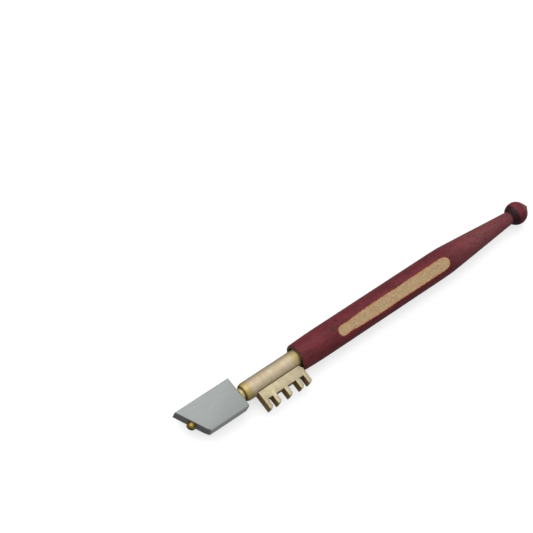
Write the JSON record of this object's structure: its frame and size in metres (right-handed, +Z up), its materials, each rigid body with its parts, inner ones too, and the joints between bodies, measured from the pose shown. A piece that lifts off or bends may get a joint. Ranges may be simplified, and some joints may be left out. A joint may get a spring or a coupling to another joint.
{
  "type": "glass cutter",
  "caption": "Glazier's diamond glass cutter: turned wooden handle with a ball end and thumb flat, brass barrel with a breaker comb, and a swivelling steel head with a diamond in a brass holder.",
  "frame": {"origin": "under the middle of the tool's box, on the surface that the handle's straight grip lies on", "axes": "+X along the tool from the head to the ball end, +Y from the comb's side to the long side of the head, +Z up and square to the flats of the head and comb"},
  "size_m": [0.18, 0.0186, 0.0118],
  "materials": {
    "stained_wood": "dark red stained and thinly varnished hardwood, bare and sanded on the thumb flat and at the mouth",
    "brass": "pale satin turned brass, sawn comb faces darker",
    "bright_brass": "yellow machined brass",
    "satin_steel": "satin ground steel with a fine bevel",
    "plain_steel": "plain dark steel",
    "steel_brad": "oxidised steel brad, filed flush",
    "braze": "dark brazing alloy",
    "diamond_point": "dark grey natural diamond, square stem and four-sided point"
  },
  "bodies": {
    "stock": {"handle": "stained_wood", "handle_pin": "steel_brad", "barrel": "brass", "breaker_comb": "brass", "swivel_pin": "plain_steel", "thrust_washer": "plain_steel"},
    "head": {"spindle": "bright_brass", "head_block": "satin_steel", "diamond_holder": "bright_brass", "diamond_setting": "braze", "diamond": "diamond_point"}
  },
  "joints": [
    {"name": "head_swivel", "type": "hinge", "parent": "stock", "child": "head", "pos_m": [-0.0631, 0.00175, 0.0059], "axis": [1, 0, 0], "range_deg": [-20, 20]}
  ]
}
